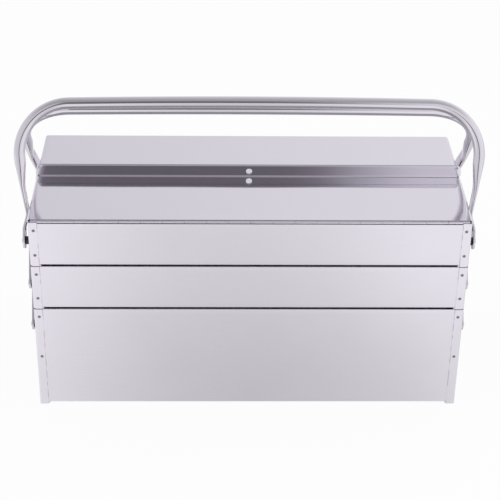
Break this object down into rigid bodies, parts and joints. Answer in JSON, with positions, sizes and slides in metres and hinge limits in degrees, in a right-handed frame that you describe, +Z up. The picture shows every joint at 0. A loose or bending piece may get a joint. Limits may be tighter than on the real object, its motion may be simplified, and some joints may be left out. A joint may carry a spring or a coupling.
{
  "type": "cantilever tool box",
  "caption": "Stainless sheet tool box whose stacked trays swing outward on flat side levers, with mirror-polished lids and folding tube handles.",
  "frame": {"origin": "middle of the underside, on the floor", "axes": "+X along the box to its right end, -Y towards the front, +Z up"},
  "size_m": [0.5736, 0.236, 0.3829],
  "materials": {
    "brushed_stainless": "fine satin",
    "polished_stainless": "mirror polished",
    "polished_tube": "polished",
    "lever_steel": "satin",
    "bush_dark": "matt"
  },
  "bodies": {
    "base": {"base_body": "brushed_stainless", "base_end_left": "brushed_stainless", "base_end_right": "brushed_stainless", "base_rivets": "lever_steel", "base_spacers": "bush_dark"},
    "front_long_levers": {"front_long_lever_left": "lever_steel", "front_long_lever_right": "lever_steel"},
    "front_mid_tray": {"front_mid_body": "brushed_stainless", "front_mid_end_left": "brushed_stainless", "front_mid_end_right": "brushed_stainless", "front_mid_rivets": "lever_steel", "front_mid_spacers": "bush_dark"},
    "front_top_tray": {"front_top_body": "brushed_stainless", "front_top_end_left": "brushed_stainless", "front_top_end_right": "brushed_stainless", "front_top_rivets": "lever_steel", "front_top_spacers": "bush_dark", "front_hinge_tray_leaf": "brushed_stainless", "front_hinge_pin": "lever_steel"},
    "front_lower_levers": {"front_lower_lever_left": "lever_steel", "front_lower_lever_right": "lever_steel"},
    "front_upper_levers": {"front_upper_lever_left": "lever_steel", "front_upper_lever_right": "lever_steel"},
    "front_lid_panel": {"front_lid": "polished_stainless", "front_hinge_lid_leaf": "brushed_stainless"},
    "front_carry_handle": {"front_handle": "polished_tube"},
    "rear_long_levers": {"rear_long_lever_left": "lever_steel", "rear_long_lever_right": "lever_steel"},
    "rear_mid_tray": {"rear_mid_body": "brushed_stainless", "rear_mid_end_left": "brushed_stainless", "rear_mid_end_right": "brushed_stainless", "rear_mid_rivets": "lever_steel", "rear_mid_spacers": "bush_dark"},
    "rear_top_tray": {"rear_top_body": "brushed_stainless", "rear_top_end_left": "brushed_stainless", "rear_top_end_right": "brushed_stainless", "rear_top_rivets": "lever_steel", "rear_top_spacers": "bush_dark", "rear_hinge_tray_leaf": "brushed_stainless", "rear_hinge_pin": "lever_steel"},
    "rear_lower_levers": {"rear_lower_lever_left": "lever_steel", "rear_lower_lever_right": "lever_steel"},
    "rear_upper_levers": {"rear_upper_lever_left": "lever_steel", "rear_upper_lever_right": "lever_steel"},
    "rear_lid_panel": {"rear_lid": "polished_stainless", "rear_hinge_lid_leaf": "brushed_stainless"},
    "rear_carry_handle": {"rear_handle": "polished_tube"}
  },
  "joints": [
    {"name": "front_open", "type": "hinge", "parent": "base", "child": "front_long_levers", "pos_m": [0, -0.078, 0.096], "axis": [1, 0, 0], "range_deg": [0, 57.8]},
    {"name": "front_mid_level", "type": "hinge", "parent": "front_long_levers", "child": "front_mid_tray", "pos_m": [0, -0.044, 0.157], "axis": [1, 0, 0], "range_deg": [-57.8, 0]},
    {"name": "front_top_level", "type": "hinge", "parent": "front_long_levers", "child": "front_top_tray", "pos_m": [0, -0.01, 0.218], "axis": [1, 0, 0], "range_deg": [-57.8, 0]},
    {"name": "front_lower_swing", "type": "hinge", "parent": "base", "child": "front_lower_levers", "pos_m": [0, -0.044, 0.096], "axis": [1, 0, 0], "range_deg": [0, 57.8]},
    {"name": "front_upper_swing", "type": "hinge", "parent": "front_mid_tray", "child": "front_upper_levers", "pos_m": [0, -0.078, 0.157], "axis": [1, 0, 0], "range_deg": [0, 57.8]},
    {"name": "front_lid_open", "type": "hinge", "parent": "front_top_tray", "child": "front_lid_panel", "pos_m": [0, -0.1147, 0.2645], "axis": [1, 0, 0], "range_deg": [0, 100]},
    {"name": "front_handle_swing", "type": "hinge", "parent": "front_top_tray", "child": "front_carry_handle", "pos_m": [0, -0.078, 0.218], "axis": [1, 0, 0], "range_deg": [0, 120]},
    {"name": "rear_open", "type": "hinge", "parent": "base", "child": "rear_long_levers", "pos_m": [0, 0.078, 0.096], "axis": [-1, 0, 0], "range_deg": [0, 57.8]},
    {"name": "rear_mid_level", "type": "hinge", "parent": "rear_long_levers", "child": "rear_mid_tray", "pos_m": [0, 0.044, 0.157], "axis": [-1, 0, 0], "range_deg": [-57.8, 0]},
    {"name": "rear_top_level", "type": "hinge", "parent": "rear_long_levers", "child": "rear_top_tray", "pos_m": [0, 0.01, 0.218], "axis": [-1, 0, 0], "range_deg": [-57.8, 0]},
    {"name": "rear_lower_swing", "type": "hinge", "parent": "base", "child": "rear_lower_levers", "pos_m": [0, 0.044, 0.096], "axis": [-1, 0, 0], "range_deg": [0, 57.8]},
    {"name": "rear_upper_swing", "type": "hinge", "parent": "rear_mid_tray", "child": "rear_upper_levers", "pos_m": [0, 0.078, 0.157], "axis": [-1, 0, 0], "range_deg": [0, 57.8]},
    {"name": "rear_lid_open", "type": "hinge", "parent": "rear_top_tray", "child": "rear_lid_panel", "pos_m": [0, 0.1147, 0.2645], "axis": [-1, 0, 0], "range_deg": [0, 100]},
    {"name": "rear_handle_swing", "type": "hinge", "parent": "rear_top_tray", "child": "rear_carry_handle", "pos_m": [0, 0.078, 0.218], "axis": [-1, 0, 0], "range_deg": [0, 130]}
  ],
  "couplings": [
    {"joint": "front_mid_level", "follows": "front_open", "ratio": -1},
    {"joint": "front_top_level", "follows": "front_open", "ratio": -1},
    {"joint": "front_lower_swing", "follows": "front_open", "ratio": 1},
    {"joint": "front_upper_swing", "follows": "front_open", "ratio": 1},
    {"joint": "rear_mid_level", "follows": "rear_open", "ratio": -1},
    {"joint": "rear_top_level", "follows": "rear_open", "ratio": -1},
    {"joint": "rear_lower_swing", "follows": "rear_open", "ratio": 1},
    {"joint": "rear_upper_swing", "follows": "rear_open", "ratio": 1}
  ]
}
